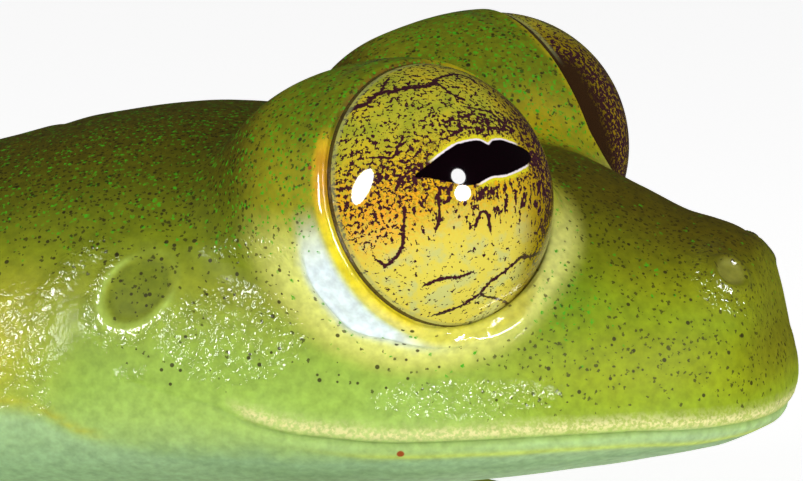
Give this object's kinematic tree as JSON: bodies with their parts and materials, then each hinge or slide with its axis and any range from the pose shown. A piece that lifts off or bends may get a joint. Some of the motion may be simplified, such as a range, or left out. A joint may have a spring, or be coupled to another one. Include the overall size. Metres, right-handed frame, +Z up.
{
  "type": "glass frog model",
  "caption": "Life-size still model of a small green glass frog sitting with its hands and feet flat and its large eyes looking ahead.",
  "frame": {"origin": "centre of the footprint, on the floor the frog sits on", "axes": "+X the way the frog looks, +Y to its left, +Z up"},
  "size_m": [0.0204, 0.0192, 0.0064],
  "materials": {
    "skin": "moist, smooth to finely grained skin",
    "eye": "wet, glossy eyeball"
  },
  "bodies": {
    "root": {"head": "skin", "torso": "skin", "eye_left": "eye", "eye_right": "eye", "upper_arm_left": "skin", "upper_arm_right": "skin", "forearm_left": "skin", "forearm_right": "skin", "hand_left": "skin", "hand_right": "skin", "thigh_left": "skin", "thigh_right": "skin", "shank_left": "skin", "shank_right": "skin", "tarsus_left": "skin", "tarsus_right": "skin", "foot_left": "skin", "foot_right": "skin"}
  },
  "joints": []
}
